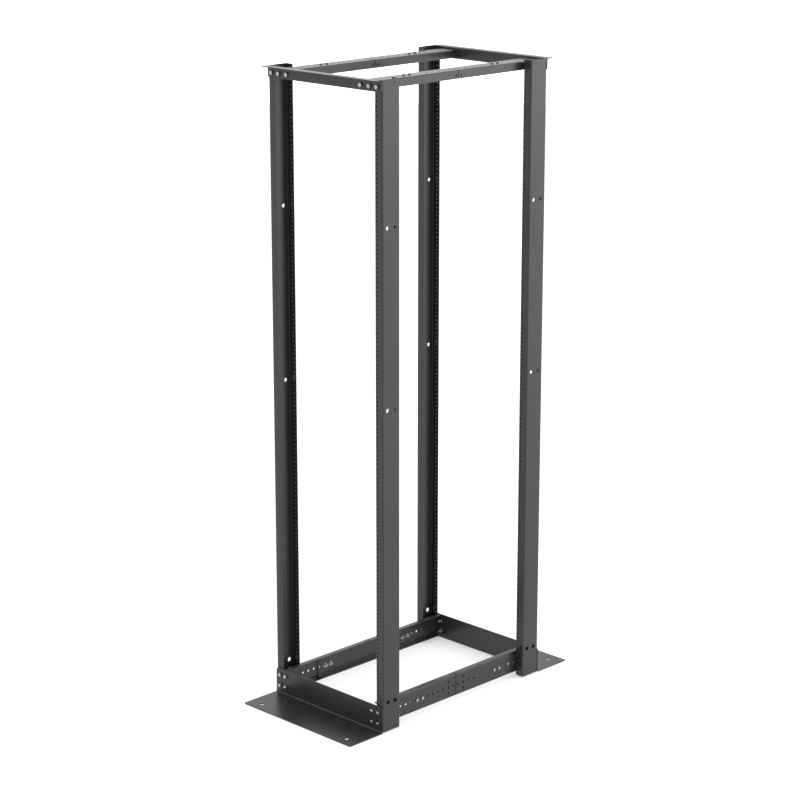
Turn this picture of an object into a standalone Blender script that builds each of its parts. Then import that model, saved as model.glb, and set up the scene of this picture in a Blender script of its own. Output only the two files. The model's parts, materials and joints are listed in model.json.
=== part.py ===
"""Four-post open network rack: a front and a rear frame of folded sheet steel joined by side rails.

Axes: X across the rack, +Y from front to rear, +Z up. The origin is on the floor under the rack's centre.
The rear frame slides along +Y on the splices inside the side rails, which stay with the front frame.
"""

import math

import bmesh
import bpy
from mathutils import Vector
from mathutils.geometry import delaunay_2d_cdt

# Overall sizes, in metres.
OPENING_WIDTH = 0.450
FLANGE_WIDTH = 0.03175
POST_DEPTH = 0.0762
POST_HEIGHT = 2.1336
RACK_DEPTH = 0.75565
BASE_REACH = 0.1524

# Sheet thicknesses and outer bend radii.
POST_WALL = 0.00266
BASE_WALL = 0.0034
TOP_WALL = 0.003
RAIL_WALL = 0.00266
TOP_RAIL_WALL = 0.0025
BEND_RADIUS = 0.0045
BASE_BEND_RADIUS = 0.008
BEND_STEPS = 2
GAP = 0.0003
SEAM_HALF_GAP = 0.0006

# Posts: equipment holes in the flanges, and large holes in the web.
UNIT = 0.04445
UNIT_COUNT = 45
UNIT_HOLES = (0.00635, 0.022225, 0.0381)
FIRST_UNIT = 0.08845
EQUIPMENT_HOLE_INSET = 0.00755
EQUIPMENT_HOLE_RADIUS = 0.0028
EQUIPMENT_HOLE_SIDES = 4
WEB_HOLE_OFFSET = 0.0165
LOW_WEB_HOLE = (0.0992, 0.0075)
HIGH_WEB_HOLES = ((1.0886, 0.0064), (1.6735, 0.0064))
TOP_PILOT_HOLE = (2.1205, 0.0022)
POST_CORNER_CUT = 0.005

# Base angles, which carry the posts and reach out over the floor.
BASE_LEG_HEIGHT = 0.0912
BASE_CORNER_CUT = 0.008
PLATE_CORNER_CUT = 0.004
ANCHOR_HOLE_X = 0.2054
ANCHOR_HOLE_REACH = 0.1175
ANCHOR_HOLE_RADIUS = 0.008

# Top angles.
TOP_LEG_HEIGHT = 0.0381
TOP_REACH = 0.03175
TOP_CORNER_CUT = 0.004

# Bottom side rails: channels that open inwards, with a bolt tab at the post end.
RAIL_FACE_X = 0.2242
RAIL_LOW = 0.0140
RAIL_HEIGHT = 0.0778
RAIL_FLANGE = 0.021
RAIL_TAB_EDGE_X = 0.190
HOLE_PITCH = 0.0254
FIRST_HOLE = 0.0113
RAIL_HOLE_COUNT = 12
RAIL_HOLE_RADIUS = 0.0042
TRIPLE_HOLE_RISE = 0.0215
RAIL_FLANGE_HOLE_RADIUS = 0.0033
RAIL_FLANGE_HOLE_X = 0.2115
RAIL_END_HOLE = 0.031

# Top side rails: channels that open downwards.
TOP_RAIL_X = 0.1865
TOP_RAIL_WIDTH = 0.0635
TOP_RAIL_LOW = 2.1020
TOP_RAIL_HEIGHT = 0.0274
TOP_HOLE_COUNT = 14
TOP_HOLE_RADIUS = 0.0025
TOP_LARGE_HOLE_RADIUS = 0.0045
TOP_LARGE_HOLES = (7, 8)
TOP_SIDE_HOLE_DROP = 0.0170
TOP_SIDE_HOLE_RADIUS = 0.0032

# Splices inside the rails.
SPLICE_LENGTH = 0.4740
SPLICE_CENTRE_Y = HOLE_PITCH / 2
SPLICE_FLANGE = 0.017
SPLICE_DIMPLE_RISE = 0.0195
SPLICE_DIMPLE_INSET = 0.010
SPLICE_DIMPLE_RADIUS = 0.002
SPLICE_BOLT_STATIONS = {1: (6, 7), -1: (7, 8)}
TOP_SPLICE_HALF_LENGTH = 0.2275
TOP_SPLICE_HEIGHT = 0.0225
TOP_SCREW_STATION = 7

# Fasteners.
CORNER_BOLT = {"flats": 0.016, "head": 0.0062, "shank": 0.0050, "nut": 0.0080}
SPLICE_BOLT = {"flats": 0.013, "head": 0.0053, "shank": 0.0038, "nut": 0.0065}
TOP_SCREW = {"flats": 0.011, "head": 0.0030, "shank": 0.0034, "nut": 0.0040}
BOLT_HOLE_RADIUS = 0.0058
BASE_BOLTS_X = (0.2094, 0.2370)
BASE_BOLTS_Z = (0.0295, 0.0680)
TOP_BOLTS_X = (0.1672, 0.2047, 0.2380)
TOP_BOLTS_Z = 2.1148

BLACK_PAINT = ((0.030, 0.030, 0.031), 0.45, 0.0)
ZINC = ((0.62, 0.62, 0.60), 0.32, 1.0)
BLACK_OXIDE = ((0.020, 0.020, 0.021), 0.38, 0.6)

HALF_WIDTH = OPENING_WIDTH / 2 + FLANGE_WIDTH
FRONT_FACE = -RACK_DEPTH / 2
POST_LOW = BASE_WALL
POST_TOP = POST_LOW + POST_HEIGHT
RAIL_MID = RAIL_LOW + RAIL_HEIGHT / 2
TOP_RAIL_TOP = TOP_RAIL_LOW + TOP_RAIL_HEIGHT
TOP_SIDE_HOLE_Z = TOP_RAIL_TOP - TOP_SIDE_HOLE_DROP


def clear_scene():
    for obj in list(bpy.data.objects):
        bpy.data.objects.remove(obj)


def ring(s, v, radius, sides=8, phase=0.5):
    """A hole's outline: a regular polygon round (s, v). Phase turns it by that share of one side."""
    angles = [2 * math.pi * (k + phase) / sides for k in range(sides)]
    return [(s + radius * math.cos(a), v + radius * math.sin(a)) for a in angles]


def station(k):
    """How far hole k of a rail half is from the seam."""
    return FIRST_HOLE + k * HOLE_PITCH


def bend_path(start, heading, flats, radius):
    """Stations of a folded strip's outer face: distance along it, point, and normal into the sheet.

    The strip turns left by 90 degrees after each flat but the last. Heading is in degrees.
    """
    stations, distance, point, angle = [], 0.0, Vector(start), math.radians(heading)

    def left():
        return Vector((-math.sin(angle), math.cos(angle)))

    for index, flat in enumerate(flats):
        stations.append((distance, point.copy(), left()))
        distance += flat
        point = point + flat * Vector((math.cos(angle), math.sin(angle)))
        stations.append((distance, point.copy(), left()))
        if index == len(flats) - 1:
            break
        centre = point + radius * left()
        for step in range(BEND_STEPS):
            angle += math.pi / 2 / BEND_STEPS
            distance += radius * math.pi / 2 / BEND_STEPS
            point = centre - radius * left()
            if step < BEND_STEPS - 1:
                stations.append((distance, point.copy(), left()))
    return stations


def cut_corners(s_low, s_high, v_low, v_high, cuts):
    """A panel's outline. cuts maps a corner, such as (0, 1) for low s and high v, to its cut."""
    outline = []
    for corner, toward in (((0, 0), (1, 0)), ((1, 0), (1, 1)), ((1, 1), (0, 1)), ((0, 1), (0, 0))):
        s, v = (s_low, s_high)[corner[0]], (v_low, v_high)[corner[1]]
        cut = cuts.get(corner, 0.0)
        if not cut:
            outline.append((s, v))
            continue
        inward_s, inward_v = cut * (1 - 2 * corner[0]), cut * (1 - 2 * corner[1])
        arrive, leave = (s, v + inward_v), (s + inward_s, v)
        outline += [arrive, leave] if toward[0] != corner[0] else [leave, arrive]
    return outline


def triangulate(outline, holes):
    """Points and triangles of a flat panel with convex holes."""
    points, edges, loops = [], [], []
    for number, loop in enumerate([outline, *holes]):
        first = len(points)
        points += [Vector(p) for p in loop]
        edges += [(first + k, first + (k + 1) % len(loop)) for k in range(len(loop))]
        loops += [number] * len(loop)
    found = delaunay_2d_cdt(points, edges, [], 1, 1e-7)
    loop_of = [loops[sources[0]] for sources in found[3]]
    # A triangle with all its corners on one hole lies inside that hole.
    return found[0], [face for face in found[2]
                      if len({loop_of[k] for k in face}) > 1 or loop_of[face[0]] == 0]


class FoldedSheet:
    """A flat pattern of panels and bends, kept in (s, v), that becomes a solid sheet when folded."""

    def __init__(self, stations, v_low, v_high):
        self.stations, self.v_low, self.v_high = stations, v_low, v_high
        self.index, self.points, self.faces = {}, [], []

    def vertex(self, s, v):
        key = (round(s, 6), round(v, 6))
        if key not in self.index:
            self.index[key] = len(self.points)
            self.points.append(key)
        return self.index[key]

    def add_panel(self, number, holes=(), cuts=None):
        """Fills flat number 0, 1, 2... with its holes, whose s starts at that flat."""
        low = self.stations[number * (BEND_STEPS + 1)][0]
        high = self.stations[number * (BEND_STEPS + 1) + 1][0]
        outline = cut_corners(low, high, self.v_low, self.v_high, cuts or {})
        holes = [[(low + s, v) for s, v in hole] for hole in holes]
        points, faces = triangulate(outline, holes)
        self.faces += [[self.vertex(*points[k]) for k in face] for face in faces]

    def add_bends(self, count):
        for bend in range(count):
            first = bend * (BEND_STEPS + 1) + 1
            for k in range(first, first + BEND_STEPS):
                low, high = self.stations[k][0], self.stations[k + 1][0]
                corners = ((low, self.v_low), (high, self.v_low), (high, self.v_high), (low, self.v_high))
                self.faces.append([self.vertex(*c) for c in corners])

    def folded(self, s, depth):
        for (s0, p0, n0), (s1, p1, n1) in zip(self.stations, self.stations[1:]):
            if s <= s1 + 1e-6:
                share = (s - s0) / (s1 - s0)
                return p0.lerp(p1, share) + depth * n0.lerp(n1, share)
        raise ValueError("the point lies past the strip's end")

    def solid(self, wall, place):
        """The folded solid. place turns a profile point and v into X, Y and Z."""
        bm = bmesh.new()
        outer = [bm.verts.new(place(self.folded(s, 0.0), v)) for s, v in self.points]
        inner = [bm.verts.new(place(self.folded(s, wall), v)) for s, v in self.points]
        used = {}
        for face in self.faces:
            bm.faces.new([outer[k] for k in face])
            bm.faces.new([inner[k] for k in reversed(face)])
            for a, b in zip(face, face[1:] + face[:1]):
                used.setdefault((min(a, b), max(a, b)), []).append((a, b))
        for sides in used.values():
            if len(sides) == 1:
                a, b = sides[0]
                bm.faces.new([outer[b], outer[a], inner[a], inner[b]])
        return faced_out(bm)


def faced_out(bm):
    """Turns every face of a closed mesh outwards. Its faces already agree with each other."""
    if bm.calc_volume(signed=True) < 0:
        bmesh.ops.reverse_faces(bm, faces=bm.faces)
    return bm


def mirrored(bm, side, end):
    """Turns the front right piece into the one on another side (-1 left) or end (-1 rear)."""
    for vert in bm.verts:
        vert.co.x *= side
        vert.co.y *= end
    return faced_out(bm)


def make_mesh(bm, name):
    mesh = bpy.data.meshes.new(name)
    bm.to_mesh(mesh)
    bm.free()
    mesh.shade_smooth()
    mesh.set_sharp_from_angle(angle=math.radians(40))
    return mesh


def make_object(name, mesh, parent, finish=None):
    """A named object with its own material, under its frame's empty."""
    obj = bpy.data.objects.new(name, mesh)
    bpy.context.scene.collection.objects.link(obj)
    obj.parent = parent
    if finish is None:
        return obj
    colour, roughness, metallic = finish
    material = bpy.data.materials.new(name)
    material.use_nodes = True
    shader = material.node_tree.nodes["Principled BSDF"]
    shader.inputs["Base Color"].default_value = (*colour, 1.0)
    shader.inputs["Roughness"].default_value = roughness
    shader.inputs["Metallic"].default_value = metallic
    if mesh.users == 1:
        mesh.materials.append(None)
    obj.material_slots[0].link = "OBJECT"
    obj.material_slots[0].material = material
    return obj


def helper(name, bm, parent):
    """A hidden object that a Boolean reads."""
    obj = make_object(name, make_mesh(bm, name), parent)
    obj.hide_render = True
    obj.display_type = "WIRE"
    return obj


def combine(obj, other, operation):
    modifier = obj.modifiers.new(other.name, "BOOLEAN")
    modifier.operation = operation
    modifier.solver = "EXACT"
    modifier.object = other


def equipment_holes(inset):
    """Every rack unit's three holes along a post's flange."""
    rows = [FIRST_UNIT + unit * UNIT + rise for unit in range(UNIT_COUNT) for rise in UNIT_HOLES]
    return [ring(inset, z, EQUIPMENT_HOLE_RADIUS, EQUIPMENT_HOLE_SIDES, 0.0) for z in rows]


def post_mesh(outer_flange):
    """A channel that opens towards -X, its flange edges on x = 0 and its depth centred on y = 0.

    outer_flange is the flat, 0 or 2, that carries the equipment holes.
    """
    flat = FLANGE_WIDTH - BEND_RADIUS
    web = POST_DEPTH - 2 * BEND_RADIUS
    path = bend_path((0.0, -POST_DEPTH / 2), 0, (flat, web, flat), BEND_RADIUS)
    sheet = FoldedSheet(path, 0.0, POST_HEIGHT)
    middle = web / 2
    heights = [LOW_WEB_HOLE, *HIGH_WEB_HOLES]
    holes = [ring(middle + k * WEB_HOLE_OFFSET, z, r, 12) for z, r in heights for k in (-1, 1)]
    holes.append(ring(middle + WEB_HOLE_OFFSET, *TOP_PILOT_HOLE, 6))
    sheet.add_panel(1, holes)
    bolts = [(BASE_BOLTS_X[-1], z - POST_LOW) for z in BASE_BOLTS_Z]
    bolts.append((TOP_BOLTS_X[-1], TOP_BOLTS_Z - POST_LOW))
    for number, inset in ((0, lambda d: d), (2, lambda d: flat - d)):
        edge = 0 if number == 0 else 1
        cuts = {(edge, 0): POST_CORNER_CUT}
        holes = [ring(inset(x - OPENING_WIDTH / 2), z, BOLT_HOLE_RADIUS) for x, z in bolts]
        if number == outer_flange:
            holes += equipment_holes(inset(EQUIPMENT_HOLE_INSET))
        sheet.add_panel(number, holes, cuts)
    sheet.add_bends(2)
    return make_mesh(sheet.solid(POST_WALL, lambda p, v: (p.x, p.y, v)), "post")


def base_angle_mesh():
    """The front base angle: a plate on the floor and a leg against the posts."""
    face = FRONT_FACE - GAP
    plate = BASE_REACH - GAP - BASE_BEND_RADIUS
    leg = BASE_LEG_HEIGHT - BASE_BEND_RADIUS
    start = (FRONT_FACE - BASE_REACH, 0.0)
    sheet = FoldedSheet(bend_path(start, 0, (plate, leg), BASE_BEND_RADIUS), -HALF_WIDTH, HALF_WIDTH)
    anchor = BASE_REACH - ANCHOR_HOLE_REACH
    holes = [ring(anchor, side * ANCHOR_HOLE_X, ANCHOR_HOLE_RADIUS, 12) for side in (-1, 1)]
    sheet.add_panel(0, holes, {(0, 0): PLATE_CORNER_CUT, (0, 1): PLATE_CORNER_CUT})
    holes = [ring(z - BASE_BEND_RADIUS, side * x, BOLT_HOLE_RADIUS)
             for side in (-1, 1) for x in BASE_BOLTS_X for z in BASE_BOLTS_Z]
    sheet.add_panel(1, holes, {(1, 0): BASE_CORNER_CUT, (1, 1): BASE_CORNER_CUT})
    sheet.add_bends(1)
    assert abs(sheet.stations[-1][1].x - face) < 1e-6
    return make_mesh(sheet.solid(BASE_WALL, lambda p, v: (v, p.x, p.y)), "base_angle")


def top_angle_mesh():
    """The front top angle: a leg against the posts and a ledge that reaches forwards at the top."""
    face = FRONT_FACE - GAP
    leg = TOP_LEG_HEIGHT - BEND_RADIUS
    ledge = TOP_REACH - GAP - BEND_RADIUS
    start = (face, POST_TOP - TOP_LEG_HEIGHT)
    sheet = FoldedSheet(bend_path(start, 90, (leg, ledge), BEND_RADIUS), -HALF_WIDTH, HALF_WIDTH)
    rise = TOP_BOLTS_Z - start[1]
    holes = [ring(rise, side * x, BOLT_HOLE_RADIUS) for side in (-1, 1) for x in TOP_BOLTS_X]
    sheet.add_panel(0, holes, {(0, 0): TOP_CORNER_CUT, (0, 1): TOP_CORNER_CUT})
    sheet.add_panel(1, (), {(1, 0): TOP_CORNER_CUT, (1, 1): TOP_CORNER_CUT})
    sheet.add_bends(1)
    return make_mesh(sheet.solid(TOP_WALL, lambda p, v: (v, p.x, p.y)), "top_angle")


def channel_path(face, low, height, flange):
    """A channel seen along Y that opens inwards: bottom flange, web on x = face, top flange."""
    flats = (flange - BEND_RADIUS, height - 2 * BEND_RADIUS, flange - BEND_RADIUS)
    return bend_path((face - flange, low), 0, flats, BEND_RADIUS)


def bottom_rail_solid():
    """The front right half: a channel from the base angle to the seam."""
    path = channel_path(RAIL_FACE_X, RAIL_LOW, RAIL_HEIGHT, RAIL_FLANGE)
    sheet = FoldedSheet(path, FRONT_FACE, -SEAM_HALF_GAP)
    middle = RAIL_HEIGHT / 2 - BEND_RADIUS
    holes = [ring(middle, -station(k), RAIL_HOLE_RADIUS) for k in range(RAIL_HOLE_COUNT)]
    holes += [ring(middle + rise, -station(1), RAIL_HOLE_RADIUS)
              for rise in (-TRIPLE_HOLE_RISE, TRIPLE_HOLE_RISE)]
    sheet.add_panel(1, holes)
    inset = RAIL_FLANGE_HOLE_X - (RAIL_FACE_X - RAIL_FLANGE)
    flat = RAIL_FLANGE - BEND_RADIUS
    sheet.add_panel(2, [ring(flat - inset, -station(0), RAIL_FLANGE_HOLE_RADIUS, 6)])
    sheet.add_panel(0, [ring(inset, FRONT_FACE + RAIL_END_HOLE, RAIL_FLANGE_HOLE_RADIUS, 6)])
    sheet.add_bends(2)
    return sheet.solid(RAIL_WALL, lambda p, v: (p.x, v, p.y))


def bottom_tab_solid():
    """The tab across the rail's front end, with two bolt holes."""
    low, high = RAIL_TAB_EDGE_X, RAIL_FACE_X - RAIL_WALL / 2
    z_low, z_high = RAIL_LOW + RAIL_WALL / 2, RAIL_LOW + RAIL_HEIGHT - RAIL_WALL / 2
    sheet = FoldedSheet(bend_path((low, FRONT_FACE), 0, (high - low,), BEND_RADIUS), z_low, z_high)
    holes = [ring(BASE_BOLTS_X[0] - low, z, BOLT_HOLE_RADIUS) for z in BASE_BOLTS_Z]
    sheet.add_panel(0, holes)
    return sheet.solid(RAIL_WALL, lambda p, v: (p.x, p.y, v))


def top_rail_solid():
    """The front right half of a top rail: a channel that opens downwards."""
    sides = TOP_RAIL_HEIGHT - BEND_RADIUS
    across = TOP_RAIL_WIDTH - 2 * BEND_RADIUS
    start = (TOP_RAIL_X + TOP_RAIL_WIDTH / 2, TOP_RAIL_LOW)
    path = bend_path(start, 90, (sides, across, sides), BEND_RADIUS)
    sheet = FoldedSheet(path, FRONT_FACE, -SEAM_HALF_GAP)
    holes = []
    for k in range(TOP_HOLE_COUNT):
        radius = TOP_LARGE_HOLE_RADIUS if k in TOP_LARGE_HOLES else TOP_HOLE_RADIUS
        holes.append(ring(across / 2, -station(k), radius, 6))
    sheet.add_panel(1, holes)
    rise = TOP_SIDE_HOLE_Z - TOP_RAIL_LOW
    sheet.add_panel(0, [ring(rise, -FIRST_HOLE, TOP_SIDE_HOLE_RADIUS)])
    sheet.add_panel(2, [ring(sides - rise, -FIRST_HOLE, TOP_SIDE_HOLE_RADIUS)])
    sheet.add_bends(2)
    return sheet.solid(TOP_RAIL_WALL, lambda p, v: (p.x, v, p.y))


def top_tab_solid():
    """The tab across a top rail's front end, with two bolt holes."""
    half = TOP_RAIL_WIDTH / 2 - TOP_RAIL_WALL / 2
    z_high = TOP_RAIL_TOP - TOP_RAIL_WALL / 2
    start = (TOP_RAIL_X - half, FRONT_FACE)
    sheet = FoldedSheet(bend_path(start, 0, (2 * half,), BEND_RADIUS), TOP_RAIL_LOW + 0.0005, z_high)
    holes = [ring(x - start[0], TOP_BOLTS_Z, BOLT_HOLE_RADIUS) for x in TOP_BOLTS_X[:2]]
    sheet.add_panel(0, holes)
    return sheet.solid(TOP_RAIL_WALL, lambda p, v: (p.x, p.y, v))


def bottom_splice_solid():
    """The right splice: a channel nested inside both halves, half a hole pitch behind the seam."""
    step = RAIL_WALL + GAP
    height = RAIL_HEIGHT - 2 * step
    path = channel_path(RAIL_FACE_X - step, RAIL_LOW + step, height, SPLICE_FLANGE)
    sheet = FoldedSheet(path, SPLICE_CENTRE_Y - SPLICE_LENGTH / 2, SPLICE_CENTRE_Y + SPLICE_LENGTH / 2)
    middle = height / 2 - BEND_RADIUS
    holes = [ring(middle, -end * station(k), RAIL_HOLE_RADIUS)
             for end, numbers in SPLICE_BOLT_STATIONS.items() for k in numbers]
    small = SPLICE_LENGTH / 2 - SPLICE_DIMPLE_INSET
    holes += [ring(middle + rise, SPLICE_CENTRE_Y + end * small, SPLICE_DIMPLE_RADIUS, 6)
              for end in (-1, 1) for rise in (-SPLICE_DIMPLE_RISE, SPLICE_DIMPLE_RISE)]
    sheet.add_panel(1, holes)
    sheet.add_panel(0)
    sheet.add_panel(2)
    sheet.add_bends(2)
    return sheet.solid(RAIL_WALL, lambda p, v: (p.x, v, p.y))


def top_splice_solid():
    """The right top splice, nested under the top of both halves."""
    step = TOP_RAIL_WALL + GAP
    sides = TOP_SPLICE_HEIGHT - BEND_RADIUS
    across = TOP_RAIL_WIDTH - 2 * step - 2 * BEND_RADIUS
    low = TOP_RAIL_TOP - step - TOP_SPLICE_HEIGHT
    start = (TOP_RAIL_X + TOP_RAIL_WIDTH / 2 - step, low)
    path = bend_path(start, 90, (sides, across, sides), BEND_RADIUS)
    sheet = FoldedSheet(path, -TOP_SPLICE_HALF_LENGTH, TOP_SPLICE_HALF_LENGTH)
    sheet.add_panel(0)
    sheet.add_panel(1, [ring(across / 2, end * station(k), TOP_LARGE_HOLE_RADIUS, 6)
                        for end in (-1, 1) for k in TOP_LARGE_HOLES])
    sheet.add_panel(2)
    sheet.add_bends(2)
    return sheet.solid(TOP_RAIL_WALL, lambda p, v: (p.x, v, p.y))


def bolt_mesh(name, sizes, grip):
    """A hex head, shank and nut as one stack. The head sits above z = 0 and the nut below -grip.

    With no grip it's a head alone, clear of the sheet that slides under it.
    """
    corner = sizes["flats"] / 2 / math.cos(math.pi / 6)
    rings = [(corner, GAP + sizes["head"]), (corner, GAP)]
    if grip:
        rings += [(sizes["shank"], GAP), (sizes["shank"], -grip - GAP),
                  (corner, -grip - GAP), (corner, -grip - GAP - sizes["nut"])]
    bm = bmesh.new()
    loops = []
    for radius, z in rings:
        loops.append([bm.verts.new((x, y, z)) for x, y in ring(0, 0, radius, 6)])
    bm.faces.new(loops[0])
    bm.faces.new(reversed(loops[-1]))
    for upper, lower in zip(loops, loops[1:]):
        for k in range(6):
            nxt = (k + 1) % 6
            bm.faces.new((upper[k], lower[k], lower[nxt], upper[nxt]))
    return make_mesh(faced_out(bm), name)


def add_posts(frames):
    meshes = {1: post_mesh(0), -1: post_mesh(2)}
    for end, end_name in ((1, "front"), (-1, "rear")):
        for side, side_name in ((-1, "left"), (1, "right")):
            mesh = meshes[side * end]
            post = make_object(f"post_{end_name}_{side_name}", mesh, frames[end_name], BLACK_PAINT)
            centre = end * (FRONT_FACE + POST_DEPTH / 2)
            post.location = (side * OPENING_WIDTH / 2, centre, POST_LOW)
            post.rotation_euler.z = 0.0 if side > 0 else math.pi


def add_angles(frames):
    for name, mesh in (("base_angle", base_angle_mesh()), ("top_angle", top_angle_mesh())):
        for end_name, turn in (("front", 0.0), ("rear", math.pi)):
            angle = make_object(f"{name}_{end_name}", mesh, frames[end_name], BLACK_PAINT)
            angle.rotation_euler.z = turn


def add_rails(frames):
    kinds = (("bottom_rail", bottom_rail_solid, bottom_tab_solid),
             ("top_rail", top_rail_solid, top_tab_solid))
    for kind, rail, tab in kinds:
        for side, side_name in ((-1, "left"), (1, "right")):
            for end, end_name in ((1, "front"), (-1, "rear")):
                name = f"{kind}_{side_name}_{end_name}"
                mesh = make_mesh(mirrored(rail(), side, end), name)
                half = make_object(name, mesh, frames[end_name], BLACK_PAINT)
                end_tab = helper(name + "_tab", mirrored(tab(), side, end), frames[end_name])
                combine(half, end_tab, "UNION")


def add_splices(frames):
    for kind, solid in (("bottom_splice", bottom_splice_solid), ("top_splice", top_splice_solid)):
        for side, side_name in ((-1, "left"), (1, "right")):
            name = f"{kind}_{side_name}"
            make_object(name, make_mesh(mirrored(solid(), side, 1), name), frames["front"], BLACK_PAINT)


def add_corner_bolts(frames):
    base = bolt_mesh("base_bolt", CORNER_BOLT, BASE_WALL + GAP + POST_WALL)
    top = bolt_mesh("top_bolt", CORNER_BOLT, TOP_WALL + GAP + POST_WALL)
    base_places = [(x, z) for x in BASE_BOLTS_X for z in BASE_BOLTS_Z]
    top_places = [(x, TOP_BOLTS_Z) for x in TOP_BOLTS_X]
    kinds = (("base_bolt", base, base_places, BASE_WALL), ("top_bolt", top, top_places, TOP_WALL))
    for kind, mesh, places, wall in kinds:
        for end, end_name in ((1, "front"), (-1, "rear")):
            for side, side_name in ((-1, "left"), (1, "right")):
                for number, (x, z) in enumerate(places, 1):
                    name = f"{kind}_{end_name}_{side_name}_{number}"
                    bolt = make_object(name, mesh, frames[end_name], ZINC)
                    bolt.location = (side * x, end * (FRONT_FACE - GAP - wall), z)
                    bolt.rotation_euler.x = end * math.pi / 2


def add_splice_bolts(frames):
    """Bolts through the front halves, and heads alone on the rear halves, which slide under them."""
    bolts = {1: bolt_mesh("splice_bolt", SPLICE_BOLT, 2 * RAIL_WALL + GAP),
             -1: bolt_mesh("splice_bolt_head", SPLICE_BOLT, 0.0)}
    screws = {1: bolt_mesh("top_screw", TOP_SCREW, 2 * TOP_RAIL_WALL + GAP),
              -1: bolt_mesh("top_screw_head", TOP_SCREW, 0.0)}
    for side, side_name in ((-1, "left"), (1, "right")):
        for end, end_name in ((1, "front"), (-1, "rear")):
            for number, k in enumerate(SPLICE_BOLT_STATIONS[end], 1):
                name = f"splice_bolt_{side_name}_{end_name}_{number}"
                bolt = make_object(name, bolts[end], frames["front"], ZINC)
                bolt.location = (side * RAIL_FACE_X, -end * station(k), RAIL_MID)
                bolt.rotation_euler.y = side * math.pi / 2
            name = f"top_splice_screw_{side_name}_{end_name}"
            screw = make_object(name, screws[end], frames["front"], BLACK_OXIDE)
            screw.location = (side * TOP_RAIL_X, -end * station(TOP_SCREW_STATION), TOP_RAIL_TOP)


def main():
    clear_scene()
    frames = {}
    for end_name in ("front", "rear"):
        frames[end_name] = bpy.data.objects.new(f"{end_name}_frame", None)
        bpy.context.scene.collection.objects.link(frames[end_name])
    add_posts(frames)
    add_angles(frames)
    add_rails(frames)
    add_splices(frames)
    add_corner_bolts(frames)
    add_splice_bolts(frames)


main()
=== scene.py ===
"""Looks of the four-post open rack: folded steel in black powder coat, with zinc plated bolts."""

import json
import math

import bmesh
import bpy
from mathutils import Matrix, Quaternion, Vector
from mathutils.geometry import delaunay_2d_cdt


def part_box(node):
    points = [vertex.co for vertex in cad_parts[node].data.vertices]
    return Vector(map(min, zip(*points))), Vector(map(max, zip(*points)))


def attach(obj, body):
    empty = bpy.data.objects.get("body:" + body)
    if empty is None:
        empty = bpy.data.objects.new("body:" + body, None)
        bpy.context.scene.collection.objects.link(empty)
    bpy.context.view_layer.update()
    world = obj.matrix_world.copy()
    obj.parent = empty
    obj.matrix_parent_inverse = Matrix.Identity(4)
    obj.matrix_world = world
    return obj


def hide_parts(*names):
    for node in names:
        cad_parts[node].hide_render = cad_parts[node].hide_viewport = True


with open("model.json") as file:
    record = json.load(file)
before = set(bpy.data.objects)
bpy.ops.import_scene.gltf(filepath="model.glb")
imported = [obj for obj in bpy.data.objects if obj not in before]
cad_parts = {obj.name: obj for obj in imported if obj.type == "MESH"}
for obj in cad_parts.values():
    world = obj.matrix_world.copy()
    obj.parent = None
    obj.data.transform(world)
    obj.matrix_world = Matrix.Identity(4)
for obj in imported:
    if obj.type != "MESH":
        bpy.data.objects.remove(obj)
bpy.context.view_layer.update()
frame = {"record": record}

BODY_OF = {
    node: body
    for body, nodes in frame["record"]["behaviour"]["bodies"].items()
    for node in nodes
}
SIDES = ((-1, "left"), (1, "right"))
ENDS = ((1, "front"), (-1, "rear"))

# Places that the frame gives, all for the front right corner, in metres.
POST_LOW, POST_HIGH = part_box("post_front_right")
BASE_LOW, BASE_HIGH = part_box("base_angle_front")
TOP_LOW, TOP_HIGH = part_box("top_angle_front")
RAIL_LOW, RAIL_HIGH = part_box("bottom_rail_right_front")
TOP_RAIL_LOW, TOP_RAIL_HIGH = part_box("top_rail_right_front")
SPLICE_LOW, SPLICE_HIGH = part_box("bottom_splice_right")
TOP_SPLICE_LOW, TOP_SPLICE_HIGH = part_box("top_splice_right")
FRONT = POST_LOW[1]
HALF_WIDTH = POST_HIGH[0]

# Sheets.
POST_WALL = 0.00266
BASE_WALL = 0.0034
TOP_WALL = 0.003
TOP_RAIL_WALL = 0.0025
BEND_RADIUS = 0.0045
BASE_BEND_RADIUS = 0.008
BEND_STEPS = 6
EDGE_ROUNDING = 0.0004
EDGE_SEGMENTS = 2
SHARP_ANGLE = 32
FLAT_WEIGHT = 80
# A sheet's long sides are split at this step, but not this close to a corner.
LEVEL_STEP = 0.045
LEVEL_GAP = 0.0005
# Points of a flat pattern count as one when they agree to this many digits of a metre.
PATTERN_DIGITS = 6
PATTERN_GAP = 1e-6
TRIANGLE_GAP = 1e-7
RAIL_FLANGE = 0.021
# The part of a rail's end tab that runs along the rail, and the top tab's gap at its lower edge.
TAB_STUB = 0.006
TAB_GAP = 0.0005

# Holes, measured from the frame's own faces.
UNIT = 0.04445
UNIT_COUNT = 45
UNIT_HOLES = (0.00635, 0.022225, 0.0381)
FIRST_UNIT = POST_LOW[2] + 0.08845
HOLE_SIDES = 16
SMALL_HOLE_SIDES = 12
EQUIPMENT_HOLE_INSET = 0.00755
EQUIPMENT_HOLE_RADIUS = 0.0030
COLLAR_DEPTH = 0.0033
COLLAR_TIP_RADIUS = 0.0035
COLLAR_ROOT_RADIUS = 0.00378
THREAD_LINING = 0.00012
THREAD_RECESS = 0.00025
WEB_HOLE_OFFSET = 0.0165
WEB_HOLE_SIDES = 24
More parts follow.
